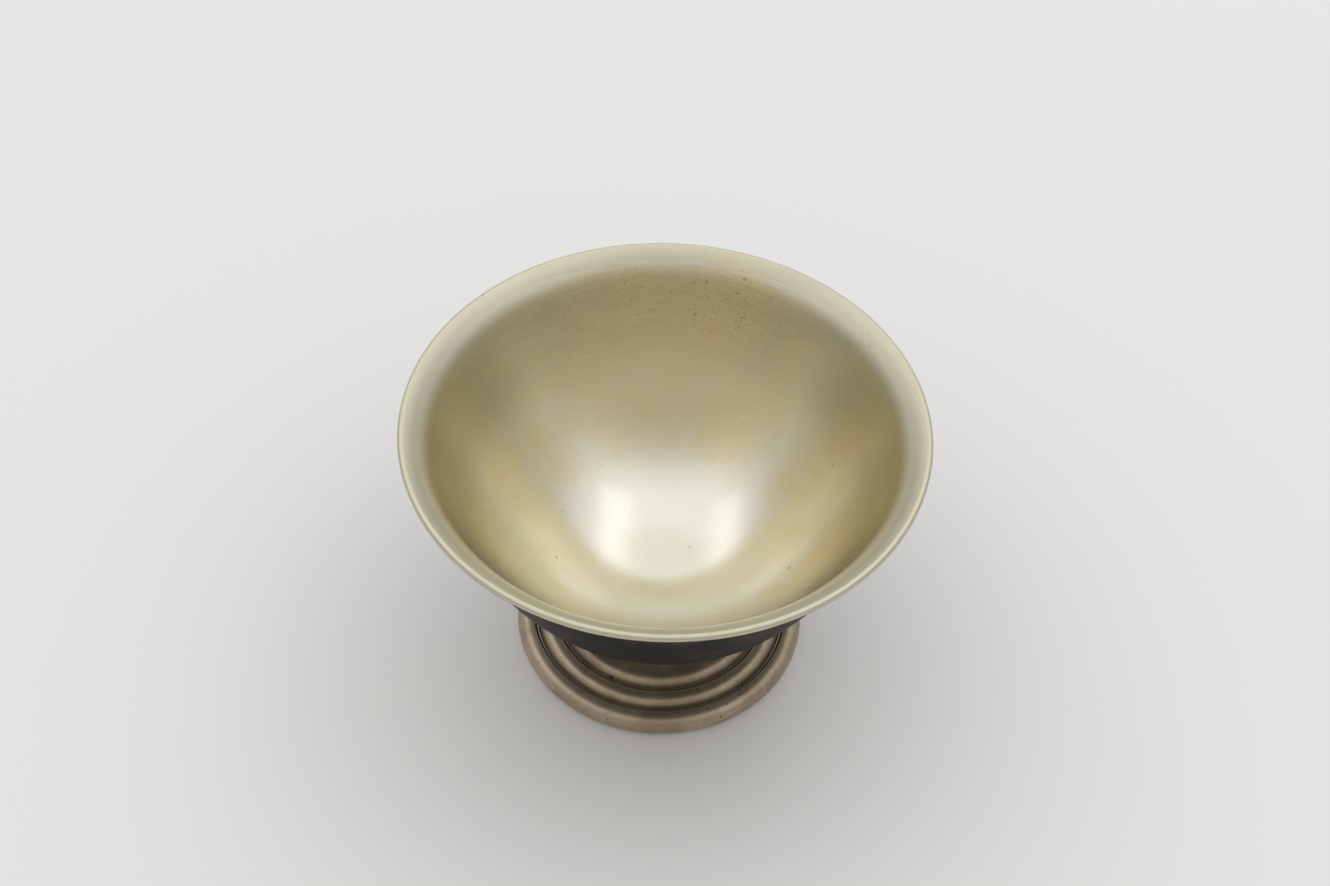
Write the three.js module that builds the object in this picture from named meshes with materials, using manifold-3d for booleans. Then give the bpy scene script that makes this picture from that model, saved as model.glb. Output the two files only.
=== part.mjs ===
// Footed bowl of cast and turned bronze, in millimetres, +Z up, standing on z = 0.
// The bowl and the foot are separate castings. A spigot under the bowl registers in the top web of
// the foot, and a threaded stud, a washer and a thin nut draw the two together from underneath.
import * as THREE from 'three';
import { mergeVertices } from 'three/addons/utils/BufferGeometryUtils.js';
import Module from 'manifold-3d';

// Overall sizes
const rimDiameter = 100;
const bowlHeight = 48.5;
const footDiameter = 58.6;
const footHeight = 12.5;

// Bowl: wall, flared lip and floor
const lipThickness = 1.5;
const lipFlareRadius = 10.7;
const lipEdgeAngle = 62.2;
const outerWaistTilt = 22;
const innerWaistTilt = 28.5;
const floorThickness = 5.5;
const wallRise = 35;
const outerFullness = { low: 0.75, high: 0.73 };
const innerFullness = { low: 0.545, high: 0.355 };

// Bowl: pad that sits on the foot, and the spigot below it
const padDiameter = 25;
const padHeight = 1.16;
const spigotDiameter = 12;
const spigotRelief = 0.5;
const tappedDepth = 2.3;

// Foot: rounded bands from the table up, the quirk grooves between them, neck and hollow
const beadRadius = 2.4;
const beadEndAngle = 120;
const bandEndAngle = 135;
const bandStartAngle = 11;
const middleBandRadius = 2.1;
const middleBandCrest = 5.9;
const upperBandRadius = 2.2;
const upperBandCrest = 7.2;
const quirkWidth = 0.66;
const quirkDepth = 0.55;
const neckDiameter = 26.4;
const neckLand = 0.6;
const neckSweep = 0.6;
const baseLand = 2.5;
const baseLip = 0.8;
const webThickness = 2.5;
const hollowShoulder = { radius: 13.2, height: 6 };
const hollowCrown = 0.5;

// Fasteners
const studDiameter = 5;
const studProjection = 0.8;
const studChamfer = 0.4;
const washerDiameter = 18;
const washerThickness = 0.8;
const nutAcrossFlats = 1.6 * studDiameter;
const nutHeight = 0.56 * studDiameter;
const boreOvershoot = 1;
const fitClearance = 0.3;
const washerMargin = 1.2;

// Facets round the axis, and along each curve of a profile
const roundFacets = 64;
const washerFacets = 32;
const nutFacets = 36;
const studFacets = 24;
const outerWallSteps = 12;
const innerWallSteps = 14;
const flareSteps = 6;
const edgeSteps = 6;
const beadSteps = 10;
const bandSteps = 6;
const upperBandSteps = 4;
const neckSteps = 6;
const hollowSteps = 7;

const degrees = THREE.MathUtils.degToRad;
const rimRadius = rimDiameter / 2;
const studRadius = studDiameter / 2;
const webUnderside = footHeight - webThickness;
const spigotLength = webThickness - spigotRelief;
const nutCornerRadius = nutAcrossFlats / 2 / Math.cos(Math.PI / 6);
const samePoint = 1e-6;
const weldDistance = 1e-5;
const point = (r, z) => new THREE.Vector2(r, z);

// Point at an angle, in degrees from outward, on a circle about centre in the (radius, height) plane.
function onCircle(centre, radius, angle) {
  return point(centre.x + radius * Math.cos(degrees(angle)), centre.y + radius * Math.sin(degrees(angle)));
}

function arc(centre, radius, fromAngle, toAngle, steps) {
  const clockwise = toAngle < fromAngle;
  const curve = new THREE.EllipseCurve(
    centre.x, centre.y, radius, radius, degrees(fromAngle), degrees(toAngle), clockwise);
  return curve.getPoints(steps);
}

function sweep(start, startHandle, endHandle, end, steps) {
  return new THREE.CubicBezierCurve(start, startHandle, endHandle, end).getPoints(steps);
}

// Turns a profile about +Z. The profile runs outward underneath, up the outside and back inward,
// from the axis to the axis, or round a ring, whose first point is then repeated at its end.
function turned(profile, facets) {
  const distinct = profile.filter((p, i) => i === 0 || p.distanceTo(profile[i - 1]) > samePoint);
  if (distinct[0].x > 0) distinct.push(distinct[0].clone());
  return new THREE.LatheGeometry(distinct, facets).rotateX(Math.PI / 2);
}

// Bowl, from the pad face at z = 0 up to the rim
function bowlProfile() {
  const padRadius = padDiameter / 2;
  const spigotRadius = spigotDiameter / 2;
  const holeRadius = studRadius + fitClearance;
  const edgeRadius = lipThickness / 2;
  const edgeCentre = point(rimRadius - edgeRadius, bowlHeight - edgeRadius);
  const middleRadius = lipFlareRadius - edgeRadius;
  const flareEnd = 180 - lipEdgeAngle;
  const outerFlareStart = 180 - outerWaistTilt;
  const innerFlareStart = 180 - innerWaistTilt;
  const flareCentre = onCircle(edgeCentre, -middleRadius, flareEnd);

  const wallFoot = point(padRadius, padHeight);
  const outerWaist = onCircle(flareCentre, lipFlareRadius - lipThickness, outerFlareStart);
  const lowHandle = outerFullness.low * (outerWaist.x - wallFoot.x);
  const highHandle = outerFullness.high * (outerWaist.y - wallFoot.y);
  const outerWall = sweep(
    wallFoot,
    onCircle(wallFoot, lowHandle, wallRise),
    onCircle(outerWaist, -highHandle, 90 - outerWaistTilt),
    outerWaist,
    outerWallSteps);

  const floorCentre = point(0, floorThickness);
  const innerWaist = onCircle(flareCentre, lipFlareRadius, innerFlareStart);
  const innerHigh = innerFullness.high * (innerWaist.y - floorThickness);
  const innerWall = sweep(
    innerWaist,
    onCircle(innerWaist, -innerHigh, 90 - innerWaistTilt),
    point(innerFullness.low * innerWaist.x, floorThickness),
    floorCentre,
    innerWallSteps);

  return [
    point(0, tappedDepth),
    point(holeRadius, tappedDepth),
    point(holeRadius, -spigotLength),
    point(spigotRadius, -spigotLength),
    point(spigotRadius, 0),
    point(padRadius, 0),
    ...outerWall,
    ...arc(flareCentre, lipFlareRadius - lipThickness, outerFlareStart, flareEnd, flareSteps),
    ...arc(edgeCentre, edgeRadius, flareEnd - 180, flareEnd, edgeSteps),
    ...arc(flareCentre, lipFlareRadius, flareEnd, innerFlareStart, flareSteps),
    ...innerWall,
  ];
}

// Groove between two bands, sunk below the lower of the two edges it joins
function quirk(fromEdge, toEdge) {
  return point((fromEdge.x + toEdge.x) / 2, Math.min(fromEdge.y, toEdge.y) - quirkDepth);
}

// A band starts one quirk inside the edge before it and turns over its crest
function bandCentre(edgeBefore, radius, crest) {
  const reach = radius * Math.cos(degrees(bandStartAngle));
  return point(edgeBefore.x - quirkWidth - reach, crest - radius);
}

// Foot, from the table at z = 0 up to the face that carries the bowl
function footProfile() {
  const beadCentre = point(footDiameter / 2 - beadRadius, beadRadius);
  const beadEdge = onCircle(beadCentre, beadRadius, beadEndAngle);
  const middleCentre = bandCentre(beadEdge, middleBandRadius, middleBandCrest);
  const middleEdge = onCircle(middleCentre, middleBandRadius, bandEndAngle);
  const upperCentre = bandCentre(middleEdge, upperBandRadius, upperBandCrest);
  const upperCrest = point(upperCentre.x, upperBandCrest);

  const neckRadius = neckDiameter / 2;
  const neckTop = point(neckRadius, footHeight - neckLand);
  const neck = sweep(
    upperCrest,
    point(upperCrest.x + neckSweep * (neckRadius - upperCrest.x), upperCrest.y),
    point(neckRadius, neckTop.y + neckSweep * (upperCrest.y - neckTop.y)),
    neckTop,
    neckSteps);

  const holeRadius = spigotDiameter / 2 + fitClearance;
  const webRadius = washerDiameter / 2 + washerMargin;
  const baseInner = beadCentre.x - baseLand;
  const shoulder = point(hollowShoulder.radius, hollowShoulder.height);
  const hollow = sweep(
    point(webRadius, webUnderside),
    point(webRadius + hollowCrown * (shoulder.x - webRadius), webUnderside),
    shoulder,
    point(baseInner, baseLip),
    hollowSteps);

  return [
    point(baseInner, 0),
    ...arc(beadCentre, beadRadius, -90, beadEndAngle, beadSteps),
    quirk(beadEdge, onCircle(middleCentre, middleBandRadius, bandStartAngle)),
    ...arc(middleCentre, middleBandRadius, bandStartAngle, bandEndAngle, bandSteps),
    quirk(middleEdge, onCircle(upperCentre, upperBandRadius, bandStartAngle)),
    ...arc(upperCentre, upperBandRadius, bandStartAngle, 90, upperBandSteps),
    ...neck,
    point(neckRadius, footHeight),
    point(holeRadius, footHeight),
    point(holeRadius, webUnderside),
    ...hollow,
  ];
}

// Stud, standing on z = 0, with both ends chamfered
function studProfile(length) {
  return [
    point(0, 0),
    point(studRadius - studChamfer, 0),
    point(studRadius, studChamfer),
    point(studRadius, length - studChamfer),
    point(studRadius - studChamfer, length),
    point(0, length),
  ];
}

function ringProfile(innerRadius, outerRadius, height) {
  return [
    point(innerRadius, 0),
    point(outerRadius, 0),
    point(outerRadius, height),
    point(innerRadius, height),
  ];
}

// Nut blank: a disc with both faces chamfered to the flats, which rounds off the hexagon's corners
function nutBlankProfile() {
  const flatRadius = nutAcrossFlats / 2;
  const chamfer = (nutCornerRadius - flatRadius) * Math.tan(Math.PI / 6);
  return [
    point(0, 0),
    point(flatRadius, 0),
    point(nutCornerRadius, chamfer),
    point(nutCornerRadius, nutHeight - chamfer),
    point(flatRadius, nutHeight),
    point(0, nutHeight),
  ];
}

const wasm = await Module();
wasm.setup();

function solid(geometry) {
  const bare = geometry.clone();
  bare.deleteAttribute('normal');
  bare.deleteAttribute('uv');
  const merged = mergeVertices(bare, weldDistance);
  const corners = merged.index.array;
  const triangles = [];
  for (let i = 0; i < corners.length; i += 3) {
    const [a, b, c] = corners.slice(i, i + 3);
    if (a !== b && b !== c && c !== a) triangles.push(a, b, c);
  }
  return new wasm.Manifold(new wasm.Mesh({
    numProp: 3,
    vertProperties: new Float32Array(merged.attributes.position.array),
    triVerts: new Uint32Array(triangles),
  }));
}

function nutGeometry() {
  const prism = new THREE.CylinderGeometry(nutCornerRadius, nutCornerRadius, nutHeight, 6);
  prism.rotateX(Math.PI / 2).translate(0, 0, nutHeight / 2);
  const boreRadius = studRadius + fitClearance;
  const boreLength = nutHeight + 2 * boreOvershoot;
  const bore = new THREE.CylinderGeometry(boreRadius, boreRadius, boreLength, studFacets);
  bore.rotateX(Math.PI / 2).translate(0, 0, nutHeight / 2);
  const blank = solid(turned(nutBlankProfile(), nutFacets));
  const mesh = blank.intersect(solid(prism)).subtract(solid(bore)).getMesh();
  const geometry = new THREE.BufferGeometry();
  geometry.setAttribute('position', new THREE.BufferAttribute(new Float32Array(mesh.vertProperties), 3));
  geometry.setIndex(new THREE.BufferAttribute(new Uint32Array(mesh.triVerts), 1));
  geometry.computeVertexNormals();
  return geometry;
}

const bowlBronze = new THREE.MeshStandardMaterial({ color: 0xa89d74, roughness: 0.32, metalness: 1 });
const footBronze = new THREE.MeshStandardMaterial({ color: 0x8c7764, roughness: 0.4, metalness: 1 });
const fastenerBrass = new THREE.MeshStandardMaterial({ color: 0x9a8350, roughness: 0.45, metalness: 1 });

function piece(name, geometry, material, height) {
  const mesh = new THREE.Mesh(geometry, material);
  mesh.name = name;
  mesh.position.z = height;
  return mesh;
}

// The nut stack hangs from the underside of the web, and the stud runs up into the bowl's spigot
const washerHeight = webUnderside - washerThickness;
const nutSeat = washerHeight - nutHeight;
const studStart = nutSeat - studProjection;
const studLength = footHeight + tappedDepth - fitClearance - studStart;
const washerRing = ringProfile(studRadius + fitClearance, washerDiameter / 2, washerThickness);

const footedBowl = new THREE.Group();
footedBowl.add(
  piece('bowl', turned(bowlProfile(), roundFacets), bowlBronze, footHeight),
  piece('foot', turned(footProfile(), roundFacets), footBronze, 0),
  piece('stud', turned(studProfile(studLength), studFacets), fastenerBrass, studStart),
  piece('washer', turned(washerRing, washerFacets), fastenerBrass, washerHeight),
  piece('nut', nutGeometry(), fastenerBrass, nutSeat),
);

export default footedBowl;
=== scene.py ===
import math

import bpy
from mathutils import Matrix, Vector
from mathutils.kdtree import KDTree


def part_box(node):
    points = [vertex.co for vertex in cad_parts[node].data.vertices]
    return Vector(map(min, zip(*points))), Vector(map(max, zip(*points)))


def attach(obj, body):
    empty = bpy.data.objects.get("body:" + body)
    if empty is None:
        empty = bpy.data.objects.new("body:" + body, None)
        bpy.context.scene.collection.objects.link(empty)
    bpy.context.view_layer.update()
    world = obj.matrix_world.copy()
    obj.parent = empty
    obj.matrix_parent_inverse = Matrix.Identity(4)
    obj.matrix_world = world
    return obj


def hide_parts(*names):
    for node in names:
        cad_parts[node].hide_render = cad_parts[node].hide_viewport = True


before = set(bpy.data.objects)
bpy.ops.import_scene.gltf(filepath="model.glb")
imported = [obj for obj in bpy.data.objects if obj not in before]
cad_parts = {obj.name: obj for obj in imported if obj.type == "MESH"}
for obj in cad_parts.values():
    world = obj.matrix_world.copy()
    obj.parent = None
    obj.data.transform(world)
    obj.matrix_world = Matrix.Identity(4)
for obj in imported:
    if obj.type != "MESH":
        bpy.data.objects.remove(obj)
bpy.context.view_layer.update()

MM = 0.001


# Camera
# The bowl stands a little left of the middle of a wide picture and is seen from 48 degrees above.
# The camera is held 0.38 m from the rim, with a short telephoto lens and a slight lean.
CAMERA_ELEVATION = math.radians(47.99)
CAMERA_LEAN = math.radians(2.006)
CAMERA_PLACE = Vector((-0.03, -259.06, 343.02)) * MM
FOCAL_PIXELS = 2050
PICTURE_WIDTH = 1330
SENSOR_WIDTH = 36

bpy.ops.object.select_all(action="DESELECT")
bpy.ops.object.camera_add(location=CAMERA_PLACE)
camera = bpy.context.object
camera.rotation_euler = (
    Matrix.Rotation(math.pi / 2 - CAMERA_ELEVATION, 4, "X") @ Matrix.Rotation(CAMERA_LEAN, 4, "Z")
).to_euler()
camera.data.sensor_width = SENSOR_WIDTH
camera.data.lens = SENSOR_WIDTH * FOCAL_PIXELS / PICTURE_WIDTH
camera.data.clip_start = 0.01
bpy.context.scene.camera = camera


# Bowl
# A bell-shaped shell, cast in bronze and turned on a lathe, with a flared lip and a rounded edge.
# Under it are a flat pad, a short spigot and a tapped hole, in one piece with the wall.
# The inside is polished satin, with a darker ring of painted shade below the lip and a paler band of
# painted reflection on the bottom. The outside is the same bronze, painted near-black brown as a
# painted dark reflection.
BOWL_LOW, BOWL_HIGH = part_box("bowl")
FOOT_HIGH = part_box("foot")[1]
RIM_RADIUS = BOWL_HIGH[0] / MM
RIM_HEIGHT = BOWL_HIGH[2] / MM
PAD_HEIGHT = FOOT_HIGH[2] / MM
SPIGOT_END = BOWL_LOW[2] / MM
PAD_RADIUS = 12.5
PAD_RISE = 1.16
PAD_EDGE = 0.25
SPIGOT_RADIUS = 6
HOLE_RADIUS = 2.8
HOLE_DEPTH_ABOVE_PAD = 2.3
HOLE_TOP = PAD_HEIGHT + HOLE_DEPTH_ABOVE_PAD
SPIGOT_EDGE = 0.3
WALL_FOOT_EDGE = 0.6
WALL_FOOT_REACH = 0.7
LIP_THICKNESS = 1.5
LIP_FLARE = 10.7
LIP_EDGE_ANGLE = 62.2
OUTER_WAIST_TILT = 22
INNER_WAIST_TILT = 28.5
OUTER_FULLNESS = (0.75, 0.73)
INNER_FULLNESS = (0.545, 0.355)
FLOOR_THICKNESS = 5.5
FLOOR_HEIGHT = PAD_HEIGHT + FLOOR_THICKNESS
WALL_RISE = 35
TURNED_STEPS = 256
SAME_POINT = 1e-4


def polar(centre, radius, angle):
    """Point at an angle, in degrees from outward, on a circle in the (radius, height) plane."""
    turn = math.radians(angle)
    return (centre[0] + radius * math.cos(turn), centre[1] + radius * math.sin(turn))


def arc(centre, radius, first, last, steps):
    return [polar(centre, radius, first + (last - first) * i / steps) for i in range(steps + 1)]


def sweep(start, start_handle, end_handle, end, steps):
    """Points along a Bezier curve."""
    points = []
    for i in range(steps + 1):
        t = i / steps
        weights = ((1 - t) ** 3, 3 * (1 - t) ** 2 * t, 3 * (1 - t) * t ** 2, t ** 3)
        corners = (start, start_handle, end_handle, end)
        points.append(tuple(sum(w * c[k] for w, c in zip(weights, corners)) for k in (0, 1)))
    return points


def rounded_corner(before, corner, after, radius, steps=4):
    """A small rounding of a corner, from one side to the other."""
    corner = Vector(corner)
    first = corner + (Vector(before) - corner).normalized() * radius
    last = corner + (Vector(after) - corner).normalized() * radius
    middle = [corner.lerp(first, 0.45), corner.lerp(last, 0.45)]
    return sweep(tuple(first), tuple(middle[0]), tuple(middle[1]), tuple(last), steps)


def turn_on_lathe(name, outline, closed=False, steps=TURNED_STEPS):
    """Draws the outline point by point, spins it about the upright axis and closes it."""
    outline = [outline[0]] + [p for q, p in zip(outline, outline[1:]) if math.dist(p, q) > SAME_POINT]
    bpy.ops.object.select_all(action="DESELECT")
    bpy.ops.mesh.primitive_circle_add(vertices=3, radius=MM, location=(0, 0, 0))
    piece = bpy.context.object
    piece.name = name
    bpy.ops.object.mode_set(mode="EDIT")
    bpy.ops.mesh.select_mode(type="VERT")
    bpy.ops.mesh.select_all(action="SELECT")
    bpy.ops.mesh.merge(type="CENTER")
    bpy.ops.transform.translate(value=(outline[0][0] * MM, 0, outline[0][1] * MM))
    for here, there in zip(outline, outline[1:]):
        step = ((there[0] - here[0]) * MM, 0, (there[1] - here[1]) * MM)
        bpy.ops.mesh.extrude_vertices_move(TRANSFORM_OT_translate={"value": step})
    bpy.ops.mesh.select_all(action="SELECT")
    if closed:
        bpy.ops.mesh.remove_doubles(threshold=1e-7)
    bpy.ops.mesh.spin(steps=steps, angle=math.tau, center=(0, 0, 0), axis=(0, 0, 1))
    bpy.ops.mesh.select_all(action="SELECT")
    bpy.ops.mesh.remove_doubles(threshold=2e-6)
    bpy.ops.mesh.normals_make_consistent(inside=False)
    bpy.ops.object.mode_set(mode="OBJECT")
    bpy.ops.object.shade_smooth_by_angle(angle=math.radians(50))
    return piece


def mark_along(piece, attribute, outline, values):
    """Gives each vertex the value of the outline's nearest point."""
    tree = KDTree(len(outline))
    for i, (radius, height) in enumerate(outline):
        tree.insert((radius, 0, height), i)
    tree.balance()
    layer = piece.data.attributes.new(attribute, "FLOAT", "POINT")
    for vertex in piece.data.vertices:
        radius = math.hypot(vertex.co.x, vertex.co.y) / MM
        nearest = tree.find((radius, 0, vertex.co.z / MM))[1]
        layer.data[vertex.index].value = values[nearest]


edge_radius = LIP_THICKNESS / 2
edge_centre = (RIM_RADIUS - edge_radius, RIM_HEIGHT - edge_radius)
flare_end = 180 - LIP_EDGE_ANGLE
outer_flare_start = 180 - OUTER_WAIST_TILT
inner_flare_start = 180 - INNER_WAIST_TILT
flare_centre = polar(edge_centre, edge_radius - LIP_FLARE, flare_end)
outer_waist = polar(flare_centre, LIP_FLARE - LIP_THICKNESS, outer_flare_start)
inner_waist = polar(flare_centre, LIP_FLARE, inner_flare_start)
wall_foot = (PAD_RADIUS, PAD_HEIGHT + PAD_RISE)
outer_wall = sweep(
    wall_foot,
    polar(wall_foot, OUTER_FULLNESS[0] * (outer_waist[0] - wall_foot[0]), WALL_RISE),
    polar(outer_waist, -OUTER_FULLNESS[1] * (outer_waist[1] - wall_foot[1]), 90 - OUTER_WAIST_TILT),
    outer_waist,
    56)
inner_wall = sweep(
    inner_waist,
    polar(inner_waist, -INNER_FULLNESS[1] * (inner_waist[1] - FLOOR_HEIGHT), 90 - INNER_WAIST_TILT),
    (INNER_FULLNESS[0] * inner_waist[0], FLOOR_HEIGHT),
    (0, FLOOR_HEIGHT),
    64)
pad_side = (PAD_RADIUS, PAD_HEIGHT)
underside = [
    (0, HOLE_TOP),
    (HOLE_RADIUS, HOLE_TOP),
    (HOLE_RADIUS, SPIGOT_END),
    *rounded_corner(
        (HOLE_RADIUS, SPIGOT_END), (SPIGOT_RADIUS, SPIGOT_END), (SPIGOT_RADIUS, PAD_HEIGHT), SPIGOT_EDGE),
    (SPIGOT_RADIUS, PAD_HEIGHT),
    *rounded_corner((SPIGOT_RADIUS, PAD_HEIGHT), pad_side, wall_foot, PAD_EDGE),
    *rounded_corner(pad_side, wall_foot, outer_wall[4], WALL_FOOT_EDGE),
]
outer_lip = arc(flare_centre, LIP_FLARE - LIP_THICKNESS, outer_flare_start, flare_end, 20)
lip_edge = arc(edge_centre, edge_radius, flare_end - 180, flare_end, 16)
inner_lip = arc(flare_centre, LIP_FLARE, flare_end, inner_flare_start, 30)
outer_wall = [p for p in outer_wall if p[0] > PAD_RADIUS + WALL_FOOT_REACH]
bowl_outline = underside + outer_wall + outer_lip + lip_edge + inner_lip + inner_wall

# Length along the wall from the top of the rim, in millimetres: more than 0 outside, less inside
rim_index = len(underside + outer_wall + outer_lip) + len(lip_edge) // 2
run = [0]
for here, there in zip(bowl_outline, bowl_outline[1:]):
    run.append(run[-1] + math.dist(here, there))
skin = [run[rim_index] - length for length in run]

bowl = turn_on_lathe("bronze_bowl", bowl_outline)
mark_along(bowl, "skin", bowl_outline, skin)


class Socket:
    """One shader value. Arithmetic on it adds Math nodes to its node tree."""

    def __init__(self, nodes, output):
        self.nodes = nodes
        self.output = output

    def __add__(self, other):
        return self.nodes.math("ADD", self, other)

    def __sub__(self, other):
        return self.nodes.math("SUBTRACT", self, other)

    def __rsub__(self, other):
        return self.nodes.math("SUBTRACT", other, self)

    def __mul__(self, other):
        return self.nodes.math("MULTIPLY", self, other)

    def __truediv__(self, other):
        return self.nodes.math("DIVIDE", self, other)

    __radd__ = __add__
    __rmul__ = __mul__


class Nodes:
    """Adds nodes to a node tree."""

    def __init__(self, tree):
        self.tree = tree

    def put(self, socket, value):
        """Links a shader value to a socket, or sets the socket to a plain value."""
        if isinstance(value, Socket):
            self.tree.links.new(value.output, socket)
        else:
            socket.default_value = value

    def node(self, kind, settings=None, inputs=None, output=0):
        """Adds one node, with its settings first and then its sockets, and returns one output."""
        node = self.tree.nodes.new(kind)
        for key, value in (settings or {}).items():
            setattr(node, key, value)
        for key, value in (inputs or {}).items():
            self.put(node.inputs[key], value)
        return Socket(self, node.outputs[output])

    def math(self, operation, first, second=0.0):
        return self.node("ShaderNodeMath", {"operation": operation}, {0: first, 1: second})

    def step(self, value, low, high):
        """0 below low and 1 above high, with a smooth change between."""
        settings = {"interpolation_type": "SMOOTHSTEP"}
        return self.node("ShaderNodeMapRange", settings, {"Value": value, "From Min": low, "From Max": high})

    def band(self, value, start, end):
        """1 between two distances. It rises over the first range and falls over the last one."""
        return self.step(value, *start) * (1 - self.step(value, *end))

    def noise(self, vector, scale, detail=4.0, roughness=0.55):
        inputs = {"Vector": vector, "Scale": scale, "Detail": detail, "Roughness": roughness}
        return self.node("ShaderNodeTexNoise", None, inputs)

    def blend(self, factor, first, second):
        """Mixes two colours."""
        inputs = {0: factor, 6: first, 7: second}
        return self.node("ShaderNodeMix", {"data_type": "RGBA"}, inputs, output=2)

    def combine(self, x, y, z):
        return self.node("ShaderNodeCombineXYZ", None, {0: x, 1: y, 2: z})


class Finish(Nodes):
    """A material under construction."""

    def __init__(self, name):
        self.material = bpy.data.materials.new(name)
        self.material.use_nodes = True
        super().__init__(self.material.node_tree)
        self.tree.nodes.clear()
        self.surface = self.tree.nodes.new("ShaderNodeBsdfPrincipled")
        target = self.tree.nodes.new("ShaderNodeOutputMaterial")
        self.tree.links.new(self.surface.outputs["BSDF"], target.inputs["Surface"])

    def spot(self, place, centre, radius, soft):
        """1 within a radius of a centre, in millimetres, fading to 0 over a soft edge."""
        offset = self.node("ShaderNodeVectorMath", {"operation": "DISTANCE"}, {
            0: place, 1: tuple(c * MM for c in centre)}, output=1)
        return 1 - self.step(offset, radius * MM, (radius + soft) * MM)

    def position(self):
        """Object coordinates."""
        return self.node("ShaderNodeTexCoord", None, None, output=3)

    def attribute(self, name):
        return self.node("ShaderNodeAttribute", {"attribute_name": name}, None, output=2)

    def round_axis(self, place):
        """Radius from the upright axis, and the direction from it as a unit pair."""
        x = self.node("ShaderNodeSeparateXYZ", None, {0: place}, output=0)
        y = self.node("ShaderNodeSeparateXYZ", None, {0: place}, output=1)
        radius = self.math("SQRT", x * x + y * y + 1e-10)
        return radius, x / radius, y / radius

    def bump(self, height, depth, strength):
        """A normal from a relief, with its depth in millimetres."""
        inputs = {"Height": height, "Distance": depth * MM, "Strength": strength}
        return self.node("ShaderNodeBump", None, inputs)

    def finish(self, colour, roughness, metallic, normal):
        self.put(self.surface.inputs["Base Color"], colour)
        self.put(self.surface.inputs["Roughness"], roughness)
        self.put(self.surface.inputs["Metallic"], metallic)
        self.put(self.surface.inputs["Normal"], normal)
        return self.material


POLISHED = (0.755, 0.735, 0.64, 1)
POLISHED_WARM = (0.75, 0.71, 0.59, 1)
POLISHED_GREEN = (0.725, 0.715, 0.61, 1)
# Golden tarnish, and at the back also a painted warm reflection
WALL_GOLD_AND_WARM_SHEEN = (0.73, 0.66, 0.48, 1)
# Painted shade: a darker ring below the lip, olive at the sides and front and golden at the back
SHADE_RING_OLIVE = (0.60, 0.575, 0.455, 1)
SHADE_RING_GOLD = (0.66, 0.59, 0.41, 1)
# Painted reflection: a paler tone for the bottom
BOTTOM_PAINTED_SHEEN = (0.82, 0.81, 0.775, 1)
BOTTOM_SATIN = (0.715, 0.705, 0.625, 1)
LIP_CHAMPAGNE = (0.61, 0.59, 0.475, 1)
TARNISH_GOLD = (0.76, 0.63, 0.38, 1)
TARNISH_BROWN = (0.30, 0.22, 0.13, 1)
REDDISH = (0.35, 0.10, 0.06, 1)
# Near-black browns for the outside: a painted dark reflection on the same bronze as the inside
OUTSIDE_PAINTED_DARK = (0.011, 0.0105, 0.0095, 1)
OUTSIDE_PAINTED_BROWN = (0.045, 0.034, 0.026, 1)
OUTSIDE_GLOSS = 0.01
POLISHED_ROUGHNESS = 0.20
OUTSIDE_ROUGHNESS = 0.36

# Where each finish starts and ends, in millimetres along the wall from the rim
LIP_END = (3.0, 5.0)
LIP_TO_WALL = (5, 11)
TURNED_START = (2.5, 5)
TURNED_END = (12, 26)
SHADE_RING_START = (3.6, 8)
SHADE_RING_END = (17, 30)
WALL_START = (8, 16)
WALL_END = (34, 50)
GOLD_START = (10, 16)
GOLD_END = (40, 48)
BOTTOM_SHEEN_START = (38, 49)
BOTTOM_MIDDLE = (57, 63)
BOTTOM_ROUGH = (40, 60)
OUTSIDE_START = (0.25, 0.75)
RUBBED_END = (1.2, 3.0)

# Patches and small marks inside the bowl, in millimetres
GOLD_PATCH_RIGHT = {"centre": (11.2, 40.8, 52.6), "radius": 5, "soft": 8}
GOLD_PATCH_LEFT = {"centre": (-6.1, 41.9, 52.6), "radius": 3, "soft": 7}
RED_SPOT = {"centre": (25, -9, 30.3), "radius": 0.2, "soft": 0.4}
WALL_NICK = {"centre": (33.3, 9.6, 40), "radius": 0.2, "soft": 0.35}
BOTTOM_NICK = {"centre": (5.8, 4.7, 18.9), "radius": 0.1, "soft": 0.3}


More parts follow.
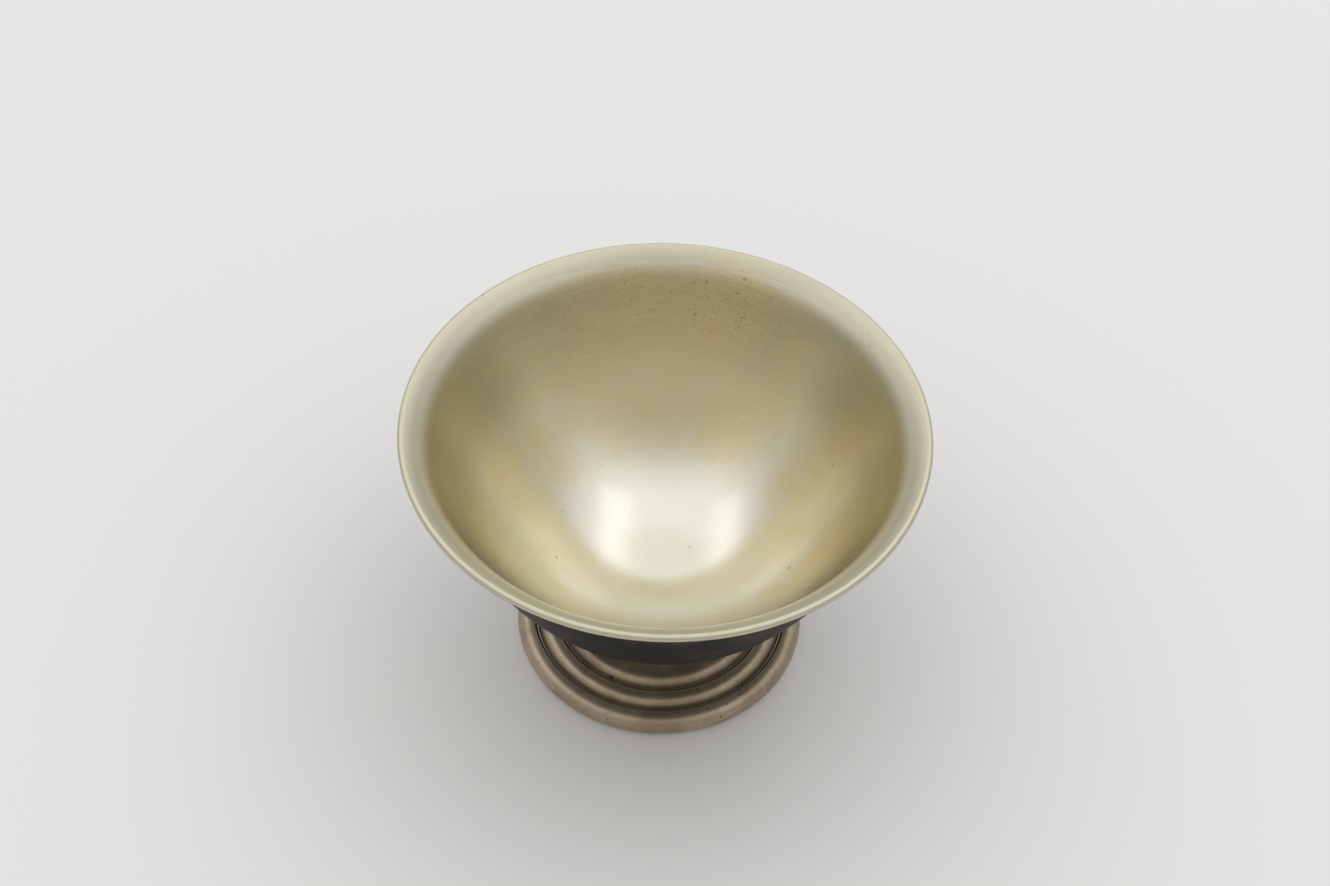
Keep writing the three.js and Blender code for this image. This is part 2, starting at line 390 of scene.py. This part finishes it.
def bowl_finish():
    f = Finish("bowl_bronze_finish")
    place = f.position()
    east, north = f.round_axis(place)[1:]
    along = f.attribute("skin")
    inward = along * -1.0

    clouds = f.noise(place, 55, 5.0)
    mist = f.noise(place, 170, 4.0, 0.65)
    drift = f.noise(place, 95, 3.0, 0.5)
    grain = f.noise(place, 2600, 2.0)
    streaks = f.noise(f.combine(east * 5.0, north * 5.0, inward * 1.6), 1.0, 4.0, 0.7)
    scratches = f.noise(f.combine(east * 5.0, north * 5.0, inward * 4.5), 1.0, 2.0, 0.6)
    speckle = f.step(f.noise(place, 1150, 3.0, 0.6), 0.61, 0.7)
    pits = f.step(f.noise(place, 720, 1.0), 0.765, 0.81)
    behind = f.step(north + (mist - 0.5) * 0.5 + (clouds - 0.5) * 0.3, 0.5, 0.95)
    turned_zone = f.band(inward, TURNED_START, TURNED_END) * (behind * 0.8 + 0.2)

    colour = f.blend(f.step(clouds, 0.40, 0.66), POLISHED, POLISHED_WARM)
    colour = f.blend(f.step(mist, 0.45, 0.72) * 0.55, colour, POLISHED_GREEN)
    # Painted reflection: a paler band on the bottom stands in for the brighter reflected light there, and
    # the very middle goes back to a satin tone
    colour = f.blend(f.step(inward, *BOTTOM_SHEEN_START) * 0.5, colour, BOTTOM_PAINTED_SHEEN)
    colour = f.blend(f.step(inward, *BOTTOM_MIDDLE) * 0.85, colour, BOTTOM_SATIN)
    # Golden tarnish on the wall, strongest at the back, where it also paints in the warm reflection on that
    # side
    wall_zone = f.band(inward, WALL_START, WALL_END)
    colour = f.blend(wall_zone * (0.1 + behind * 0.75), colour, WALL_GOLD_AND_WARM_SHEEN)
    # Painted shade: a darker ring below the lip, where the steep wall shows a darker reflection
    shade_ring_zone = f.step(inward, *SHADE_RING_START) * (1 - f.step(inward + (clouds - 0.5) * 6.0, *SHADE_RING_END))
    colour = f.blend(shade_ring_zone * 0.95, colour, f.blend(behind, SHADE_RING_OLIVE, SHADE_RING_GOLD))
    gold_zone = f.band(inward, GOLD_START, GOLD_END) * f.step(drift, 0.49, 0.62)
    colour = f.blend(gold_zone * 0.4, colour, TARNISH_GOLD)
    lip_zone = 1 - f.step(inward + (clouds - 0.5) * 1.6, *LIP_END)
    colour = f.blend(lip_zone * 0.95, colour, LIP_CHAMPAGNE)
    lines = f.step(scratches, 0.53, 0.68) * turned_zone
    colour = f.blend(lines * (0.08 + behind * 0.2), colour, TARNISH_BROWN)

    back_right = f.spot(place, **GOLD_PATCH_RIGHT)
    back_left = f.spot(place, **GOLD_PATCH_LEFT)
    patches = f.math("MAXIMUM", back_right, back_left * 0.8)
    lace = f.noise(f.combine(east * 24.0, north * 24.0, inward * 1.3), 1.0, 5.0, 0.75)
    patch_lace = f.step(lace, 0.42, 0.6)
    colour = f.blend(patches * patch_lace * 0.8, colour, TARNISH_GOLD)
    colour = f.blend(patches * speckle * 0.6, colour, TARNISH_BROWN)
    colour = f.blend(speckle * f.step(clouds, 0.5, 0.68) * 0.3, colour, TARNISH_BROWN)
    red_spot = f.spot(place, **RED_SPOT)
    colour = f.blend(red_spot * 0.55, colour, REDDISH)
    nicks = f.math("MAXIMUM", f.spot(place, **WALL_NICK), f.spot(place, **BOTTOM_NICK))
    colour = f.blend(f.math("MAXIMUM", pits * 0.55, nicks * 0.4), colour, TARNISH_BROWN)

    # The outside is painted near-black brown as a painted dark reflection of the ground under and beside the
    # bowl. The rubbed band by the rim is wear.
    outside = f.step(along + (streaks - 0.5) * 0.7, *OUTSIDE_START)
    painted_dark_outside = f.blend(f.step(clouds, 0.42, 0.7), OUTSIDE_PAINTED_DARK, OUTSIDE_PAINTED_BROWN)
    rubbed = (1 - f.step(along, *RUBBED_END)) * f.step(mist, 0.45, 0.6)
    painted_dark_outside = f.blend(rubbed * 0.5, painted_dark_outside, TARNISH_BROWN)
    colour = f.blend(outside, colour, painted_dark_outside)

    rough_inside = POLISHED_ROUGHNESS + (mist - 0.5) * 0.10 + (grain - 0.5) * 0.16 + (clouds - 0.5) * 0.08
    rough_inside = rough_inside + lines * 0.12
    rough_inside = rough_inside + (1 - f.step(inward, *LIP_TO_WALL)) * 0.24
    rough_inside = rough_inside + f.step(inward, *BOTTOM_ROUGH) * 0.05
    rough_outside = OUTSIDE_ROUGHNESS + (mist - 0.5) * 0.16
    roughness = rough_inside + outside * (rough_outside - rough_inside)
    metallic = 1 - outside * 0.9

    relief = streaks * 0.5 * turned_zone + scratches * 0.35 * turned_zone + grain * 0.12 + mist * 0.25
    relief = relief - pits * 0.7 - nicks - speckle * 0.1
    normal = f.bump(relief, depth=0.03, strength=0.55)
    f.put(f.surface.inputs["Specular IOR Level"], OUTSIDE_GLOSS)
    return f.finish(colour, roughness, metallic, normal)


bowl.data.materials.append(bowl_finish())
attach(bowl, "root")
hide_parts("bowl")


# Foot
# A low round foot, cast in a redder bronze and turned, hollow underneath. Three rounded bands step
# up to the neck, parted by two double quirk grooves that hold dark dirt. The band edges beside the
# grooves and the hollow underneath are darkened with painted shade. Its top face carries the bowl's
# pad, and the hole in its web takes the spigot.
FOOT_RADIUS = FOOT_HIGH[0] / MM
BEAD_RADIUS = 2.4
BEAD_END = 114.1
BAND_START = 11
BAND_END = 127
MIDDLE_RADIUS = 2.1
MIDDLE_CREST = 5.9
UPPER_RADIUS = 2.2
UPPER_CREST = 7.2
QUIRK_WIDTH = 0.88
NECK_RADIUS = 13.2
NECK_LAND = 0.6
NECK_SWEEP = 0.6
BASE_LAND = 2.5
BASE_LIP = 0.8
WEB_THICKNESS = 2.5
WEB_UNDERSIDE = PAD_HEIGHT - WEB_THICKNESS
WEB_RADIUS = 10.2
SPIGOT_HOLE = 6.3
HOLLOW_SHOULDER = (13.2, 6)

# Across a quirk: share of its width from the outer edge, height in millimetres, and how dirty
QUIRK_SHAPE = (
    (0.10, -0.36, 1.0),
    (0.22, -0.52, 1.0),
    (0.36, 0.00, 0.3),
    (0.60, 0.02, 0.3),
    (0.74, -0.52, 1.0),
    (0.90, -0.38, 1.0),
)


def quirk(outer_edge, inner_edge):
    """Two fine grooves with a thin fillet between them, from the lower band's edge to the next band's."""
    low = min(outer_edge[1], inner_edge[1])
    span = outer_edge[0] - inner_edge[0]
    return [(outer_edge[0] - span * share, low + drop) for share, drop, dirt_and_shade in QUIRK_SHAPE]


bead_centre = (FOOT_RADIUS - BEAD_RADIUS, BEAD_RADIUS)
bead_edge = polar(bead_centre, BEAD_RADIUS, BEAD_END)
band_reach = math.cos(math.radians(BAND_START))
middle_centre = (bead_edge[0] - QUIRK_WIDTH - MIDDLE_RADIUS * band_reach, MIDDLE_CREST - MIDDLE_RADIUS)
middle_edge = polar(middle_centre, MIDDLE_RADIUS, BAND_END)
upper_centre = (middle_edge[0] - QUIRK_WIDTH - UPPER_RADIUS * band_reach, UPPER_CREST - UPPER_RADIUS)
upper_crest = (upper_centre[0], UPPER_CREST)
neck_top = (NECK_RADIUS, PAD_HEIGHT - NECK_LAND)
base_inner = bead_centre[0] - BASE_LAND
low_quirk = quirk(bead_edge, polar(middle_centre, MIDDLE_RADIUS, BAND_START))
high_quirk = quirk(middle_edge, polar(upper_centre, UPPER_RADIUS, BAND_START))
bead = arc(bead_centre, BEAD_RADIUS, -90, BEAD_END, 36)
middle_band = arc(middle_centre, MIDDLE_RADIUS, BAND_START, BAND_END, 24)
upper_band = arc(upper_centre, UPPER_RADIUS, BAND_START, 90, 16)
neck = sweep(
    upper_crest,
    (upper_crest[0] + NECK_SWEEP * (NECK_RADIUS - upper_crest[0]), upper_crest[1]),
    (NECK_RADIUS, neck_top[1] + NECK_SWEEP * (upper_crest[1] - neck_top[1])),
    neck_top,
    20)
web = [
    *rounded_corner(neck_top, (NECK_RADIUS, PAD_HEIGHT), (SPIGOT_HOLE, PAD_HEIGHT), 0.2),
    (SPIGOT_HOLE, PAD_HEIGHT),
    (SPIGOT_HOLE, WEB_UNDERSIDE),
    (WEB_RADIUS, WEB_UNDERSIDE),
]
hollow = sweep(
    (WEB_RADIUS, WEB_UNDERSIDE),
    (WEB_RADIUS + 0.5 * (HOLLOW_SHOULDER[0] - WEB_RADIUS), WEB_UNDERSIDE),
    HOLLOW_SHOULDER,
    (base_inner, BASE_LIP),
    24)
bands = [*bead, *low_quirk, *middle_band, *high_quirk, *upper_band]
foot_outline = [(base_inner, 0), *bands, *neck, *web, *hollow]
apart = [p for q, p in zip(foot_outline, foot_outline[1:]) if math.dist(p, q) > SAME_POINT]
foot_outline = [foot_outline[0]] + apart
hollow_points = set(web[-2:] + hollow)
quirk_points = low_quirk + high_quirk
quirk_dirt = [dirt_and_shade for share, drop, dirt_and_shade in QUIRK_SHAPE] * 2
# Painted shade on the band edges beside the grooves: its greatest darkness, and its reach in millimetres
SHOULDER_SHADE = 1.15
SHOULDER_WIDTH = 0.35


def shelter_at(spot):
    """How dark a point of the outline is: about 1 for groove dirt and for painted shade on the band edges, 2
    more for painted shade in the hollow.
    """
    if spot in quirk_points:
        return quirk_dirt[quirk_points.index(spot)]
    near = min(math.dist(spot, edge) for edge in (bead_edge, middle_edge))
    shoulder = max(0, min(SHOULDER_SHADE, 1.3 - near / SHOULDER_WIDTH))
    return shoulder + (2 if spot in hollow_points else 0)


foot = turn_on_lathe("bronze_foot", foot_outline + [foot_outline[0]], closed=True)
mark_along(foot, "shelter", foot_outline, [shelter_at(spot) for spot in foot_outline])

FOOT_CREST = (0.49, 0.405, 0.32, 1)
FOOT_TAUPE = (0.36, 0.285, 0.215, 1)
FOOT_GOLD = (0.43, 0.33, 0.205, 1)
FOOT_GROOVE = (0.035, 0.028, 0.025, 1)
# Painted shade for the hollow underneath
FOOT_HOLLOW_SHADE = (0.20, 0.15, 0.11, 1)
FOOT_PIT = {"centre": (-9, -18.6, 5.3), "radius": 0.25, "soft": 0.3}
FOOT_ROUGHNESS = 0.37
FOOT_METALLIC = 0.66


def foot_finish():
    f = Finish("foot_bronze_finish")
    place = f.position()
    radius, east, north = f.round_axis(place)
    height = f.node("ShaderNodeSeparateXYZ", None, {0: place}, output=2)
    shelter = f.attribute("shelter")
    groove = f.math("MINIMUM", shelter, 1.0)
    hollow_shade = f.step(shelter, 1.2, 1.9)

    clouds = f.noise(place, 120, 5.0, 0.6)
    mist = f.noise(place, 420, 4.0, 0.65)
    grit = f.noise(place, 2400, 3.0, 0.7)
    drawn = f.combine(east * 7.0, north * 7.0, (height + radius * 0.6) * 1400.0)
    lathe = f.noise(drawn, 1.0, 4.0, 0.65)
    pits = f.step(f.noise(place, 900, 1.0), 0.73, 0.78)

    colour = f.blend(f.step(clouds, 0.38, 0.64), FOOT_CREST, FOOT_TAUPE)
    colour = f.blend(f.step(mist, 0.52, 0.74) * 0.55, colour, FOOT_GOLD)
    colour = f.blend(f.step(lathe, 0.56, 0.74) * 0.35, colour, FOOT_TAUPE)
    # Dark dirt in the grooves, and painted shade on the band edges beside them
    dirt_and_shade = f.step(groove + (grit - 0.5) * 0.3 + (mist - 0.5) * 0.3, 0.5, 0.95)
    colour = f.blend(dirt_and_shade * 0.94, colour, FOOT_GROOVE)
    colour = f.blend(pits * 0.8, colour, FOOT_GROOVE)
    pit = f.spot(place, **FOOT_PIT)
    colour = f.blend(pit, colour, FOOT_GROOVE)
    # Painted shade in the hollow underneath
    colour = f.blend(hollow_shade * 0.8, colour, FOOT_HOLLOW_SHADE)

    roughness = FOOT_ROUGHNESS + (mist - 0.5) * 0.2 + (lathe - 0.5) * 0.16 + dirt_and_shade * 0.3 + hollow_shade * 0.1
    metallic = FOOT_METALLIC - dirt_and_shade * 0.4
    relief = lathe * 0.5 + grit * 0.35 + mist * 0.35 - pits - pit * 2.0
    normal = f.bump(relief, depth=0.035, strength=0.6)
    return f.finish(colour, roughness, metallic, normal)


foot.data.materials.append(foot_finish())
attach(foot, "root")
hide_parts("foot")


# Stud
# A short length of brass threaded rod, screwed up into the spigot. Its thread is rolled at 0.8 mm
# pitch, and its lower end stands a little proud of the nut.
STUD_LOW, STUD_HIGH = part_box("stud")
STUD_RADIUS = STUD_HIGH[0] / MM
STUD_START = STUD_LOW[2] / MM
STUD_END = STUD_HIGH[2] / MM
THREAD_PITCH = 0.8
THREAD_DEPTH = 0.42
STUD_CHAMFER = 0.4


def threaded_rod(name, start, end, radius):
    """A helical thread cut to length with flat ends, which a turned blank chamfers afterwards."""
    bpy.ops.object.select_all(action="DESELECT")
    bpy.ops.mesh.primitive_circle_add(vertices=3, radius=MM, location=(0, 0, 0))
    rod = bpy.context.object
    rod.name = name
    root = radius - THREAD_DEPTH
    tooth = [(root, 0), (radius, 0.42), (radius, 0.58), (root, 1)]
    bpy.ops.object.mode_set(mode="EDIT")
    bpy.ops.mesh.select_mode(type="VERT")
    bpy.ops.mesh.select_all(action="SELECT")
    bpy.ops.mesh.merge(type="CENTER")
    first_turn = start - 2 * THREAD_PITCH
    bpy.ops.transform.translate(value=(root * MM, 0, first_turn * MM))
    for here, there in zip(tooth, tooth[1:]):
        step = ((there[0] - here[0]) * MM, 0, (there[1] - here[1]) * THREAD_PITCH * MM)
        bpy.ops.mesh.extrude_vertices_move(TRANSFORM_OT_translate={"value": step})
    bpy.ops.object.mode_set(mode="OBJECT")
    screw = rod.modifiers.new("thread", "SCREW")
    screw.axis = "Z"
    screw.steps = 40
    screw.render_steps = 40
    screw.iterations = math.ceil((end - start) / THREAD_PITCH) + 4
    screw.screw_offset = THREAD_PITCH * MM
    screw.use_merge_vertices = True
    screw.merge_threshold = 2e-6
    bpy.ops.object.modifier_apply(modifier=screw.name)
    bpy.ops.object.mode_set(mode="EDIT")
    for level, outward in ((start, -1), (end, 1)):
        bpy.ops.mesh.select_all(action="SELECT")
        bpy.ops.mesh.bisect(
            plane_co=(0, 0, level * MM), plane_no=(0, 0, outward), use_fill=True, clear_outer=True)
    bpy.ops.mesh.select_all(action="SELECT")
    bpy.ops.mesh.remove_doubles(threshold=2e-6)
    bpy.ops.mesh.normals_make_consistent(inside=False)
    bpy.ops.object.mode_set(mode="OBJECT")
    return rod


def keep_common(piece, other):
    """Keeps what a piece has in common with another one, which is then removed."""
    cut = piece.modifiers.new("cut", "BOOLEAN")
    cut.operation = "INTERSECT"
    cut.object = other
    cut.solver = "EXACT"
    bpy.ops.object.select_all(action="DESELECT")
    bpy.context.view_layer.objects.active = piece
    piece.select_set(True)
    bpy.ops.object.modifier_apply(modifier=cut.name)
    bpy.data.objects.remove(other, do_unlink=True)


stud = threaded_rod("threaded_stud", STUD_START, STUD_END, STUD_RADIUS)
stud_blank = turn_on_lathe("stud_blank", [
    (0, STUD_START),
    (STUD_RADIUS - STUD_CHAMFER, STUD_START),
    (STUD_RADIUS, STUD_START + STUD_CHAMFER),
    (STUD_RADIUS, STUD_END - STUD_CHAMFER),
    (STUD_RADIUS - STUD_CHAMFER, STUD_END),
    (0, STUD_END),
], steps=40)
keep_common(stud, stud_blank)
bpy.ops.object.shade_smooth_by_angle(angle=math.radians(30))

BRASS_BRIGHT = (0.62, 0.48, 0.24, 1)
BRASS_DULL = (0.36, 0.26, 0.13, 1)
BRASS_DIRT = (0.06, 0.045, 0.03, 1)
BRASS_ROUGHNESS = 0.36


def fastener_finish():
    f = Finish("fastener_brass_finish")
    place = f.position()
    radius, east, north = f.round_axis(place)
    clouds = f.noise(place, 260, 4.0)
    grit = f.noise(place, 2200, 3.0, 0.7)
    rings = f.noise(f.combine(east * 3.0, north * 3.0, radius * 5200.0), 1.0, 2.0)
    colour = f.blend(f.step(clouds, 0.4, 0.65), BRASS_BRIGHT, BRASS_DULL)
    colour = f.blend(f.step(grit, 0.6, 0.75) * 0.6, colour, BRASS_DIRT)
    roughness = BRASS_ROUGHNESS + (clouds - 0.5) * 0.3
    normal = f.bump(rings * 0.5 + grit * 0.4, depth=0.03, strength=0.5)
    return f.finish(colour, roughness, 1.0, normal)


brass = fastener_finish()
stud.data.materials.clear()
stud.data.materials.append(brass)
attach(stud, "root")
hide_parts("stud")


# Washer
# A flat brass washer, punched and deburred, between the nut and the underside of the foot's web.
WASHER_LOW, WASHER_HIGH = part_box("washer")
WASHER_RADIUS = WASHER_HIGH[0] / MM
WASHER_BOTTOM = WASHER_LOW[2] / MM
WASHER_TOP = WASHER_HIGH[2] / MM
WASHER_CLEARANCE = 0.3
WASHER_HOLE = STUD_RADIUS + WASHER_CLEARANCE
WASHER_EDGE = 0.18

corners = [
    (WASHER_HOLE, WASHER_BOTTOM),
    (WASHER_RADIUS, WASHER_BOTTOM),
    (WASHER_RADIUS, WASHER_TOP),
    (WASHER_HOLE, WASHER_TOP),
]
washer_outline = []
for i, corner in enumerate(corners):
    washer_outline += rounded_corner(corners[i - 1], corner, corners[(i + 1) % 4], WASHER_EDGE, 3)
washer = turn_on_lathe("flat_washer", washer_outline + [washer_outline[0]], closed=True, steps=96)
washer.data.materials.append(brass)
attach(washer, "root")
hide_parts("washer")


# Nut
# A thin hexagon nut of brass, milled from bar and chamfered on both faces. Tightened on the stud,
# it draws the bowl down on the foot.
NUT_LOW, NUT_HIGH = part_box("nut")
NUT_BOTTOM = NUT_LOW[2] / MM
NUT_TOP = NUT_HIGH[2] / MM
NUT_FLAT = NUT_HIGH[0] / MM
NUT_CORNER = NUT_FLAT / math.cos(math.pi / 6)
NUT_CLEARANCE = 0.12
NUT_BORE = STUD_RADIUS + NUT_CLEARANCE
NUT_COUNTERSINK = 0.35

nut_chamfer = (NUT_CORNER - NUT_FLAT) * math.tan(math.pi / 6)
bpy.ops.object.select_all(action="DESELECT")
bpy.ops.mesh.primitive_cylinder_add(
    vertices=6, radius=NUT_CORNER * MM, depth=(NUT_TOP - NUT_BOTTOM) * MM,
    location=(0, 0, (NUT_TOP + NUT_BOTTOM) / 2 * MM))
nut = bpy.context.object
nut.name = "hexagon_nut"
bpy.ops.object.transform_apply(location=True, rotation=True, scale=True)
nut_blank = turn_on_lathe("nut_blank", [
    (NUT_BORE + NUT_COUNTERSINK, NUT_BOTTOM),
    (NUT_FLAT, NUT_BOTTOM),
    (NUT_CORNER, NUT_BOTTOM + nut_chamfer),
    (NUT_CORNER, NUT_TOP - nut_chamfer),
    (NUT_FLAT, NUT_TOP),
    (NUT_BORE + NUT_COUNTERSINK, NUT_TOP),
    (NUT_BORE, NUT_TOP - NUT_COUNTERSINK),
    (NUT_BORE, NUT_BOTTOM + NUT_COUNTERSINK),
    (NUT_BORE + NUT_COUNTERSINK, NUT_BOTTOM),
], closed=True, steps=72)
keep_common(nut, nut_blank)
bpy.ops.object.shade_smooth_by_angle(angle=math.radians(20))
nut.data.materials.clear()
nut.data.materials.append(brass)
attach(nut, "root")
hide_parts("nut")


# Floor
# A plain pale studio floor, wide enough to fill the view from any side.
FLOOR_SIZE = 8
FLOOR_COLOUR = (0.85, 0.86, 0.905, 1)
FLOOR_ROUGHNESS = 0.7

bpy.ops.object.select_all(action="DESELECT")
bpy.ops.mesh.primitive_plane_add(size=FLOOR_SIZE, location=(0, 0, 0))
floor = bpy.context.object
floor.name = "studio_floor"
floor_material = Finish("studio_floor_finish")
floor_material.put(floor_material.surface.inputs["Base Color"], FLOOR_COLOUR)
floor_material.put(floor_material.surface.inputs["Roughness"], FLOOR_ROUGHNESS)
floor.data.materials.append(floor_material.material)


# Light
# A pale room that brightens upward, with more light from behind the bowl and a dimmer, warmer side
# towards the viewer. Two soft panels hang over the bowl with a gap between them, each with a brighter
# strip by its inner edge. The pairs are limits on a direction's unit vector: how far it points up, back
# or, for the viewer's side, forward.
LAMP_HEIGHT = 0.62
LAMPS = {
    "right_panel": {"place": (0.365, 0.32), "size": (0.28, 0.90), "brightness": 0.29},
    "left_panel": {"place": (-0.52, 0.35), "size": (0.28, 0.80), "brightness": 0.27},
    "right_strip": {"place": (0.28, 0.30), "size": (0.07, 0.60), "brightness": 0.55},
    "left_strip": {"place": (-0.46, 0.32), "size": (0.07, 0.60), "brightness": 0.75},
}
ROOM_LIGHT = 1.08
VIEWER_LIGHT = 0.55
VIEWER_HEIGHT = (-0.3, 0.45)
VIEWER_DEPTH = (0.25, 0.85)
BACK_LIGHT = 0.35
BACK_DEPTH = (0.1, 0.8)
BACK_TOP = (0.68, 0.85)
HORIZON_HEIGHT = (-0.35, 1.0)
WARM_HEIGHT = (0.0, 0.42)
VIEWER_COLOUR = (1.0, 0.92, 0.74, 1)
ROOM_COLOUR = (1.0, 0.985, 0.935, 1)

for name, lamp_plan in LAMPS.items():
    width, length = lamp_plan["size"]
    bpy.ops.object.light_add(type="AREA", location=(*lamp_plan["place"], LAMP_HEIGHT))
    lamp = bpy.context.object
    lamp.name = name
    lamp.data.shape = "RECTANGLE"
    lamp.data.size = width
    lamp.data.size_y = length
    lamp.data.energy = lamp_plan["brightness"] * math.pi * width * length

room = bpy.data.worlds.new("pale_room")
bpy.context.scene.world = room
room.use_nodes = True
light = Nodes(room.node_tree)
direction = light.node("ShaderNodeTexCoord")
depth = light.node("ShaderNodeSeparateXYZ", None, {0: direction}, output=1)
upward = light.node("ShaderNodeSeparateXYZ", None, {0: direction}, output=2)
horizon = light.step(upward, *HORIZON_HEIGHT)
viewer_side = light.step(depth * -1.0, *VIEWER_DEPTH)
back_side = light.step(depth, *BACK_DEPTH) * (1 - light.step(upward, *BACK_TOP))
room_light = horizon * ROOM_LIGHT * (1 + back_side * BACK_LIGHT)
viewer_light = light.step(upward, *VIEWER_HEIGHT) * VIEWER_LIGHT
brightness = room_light * (1 - viewer_side) + viewer_light * viewer_side
neutral = light.step(upward + depth * 0.5, *WARM_HEIGHT) * (1 - viewer_side * 0.7)
tint = light.blend(neutral, VIEWER_COLOUR, ROOM_COLOUR)
background = room.node_tree.nodes["Background"]
light.put(background.inputs["Strength"], brightness)
light.put(background.inputs["Color"], tint)
bpy.context.scene.view_settings.view_transform = "Standard"
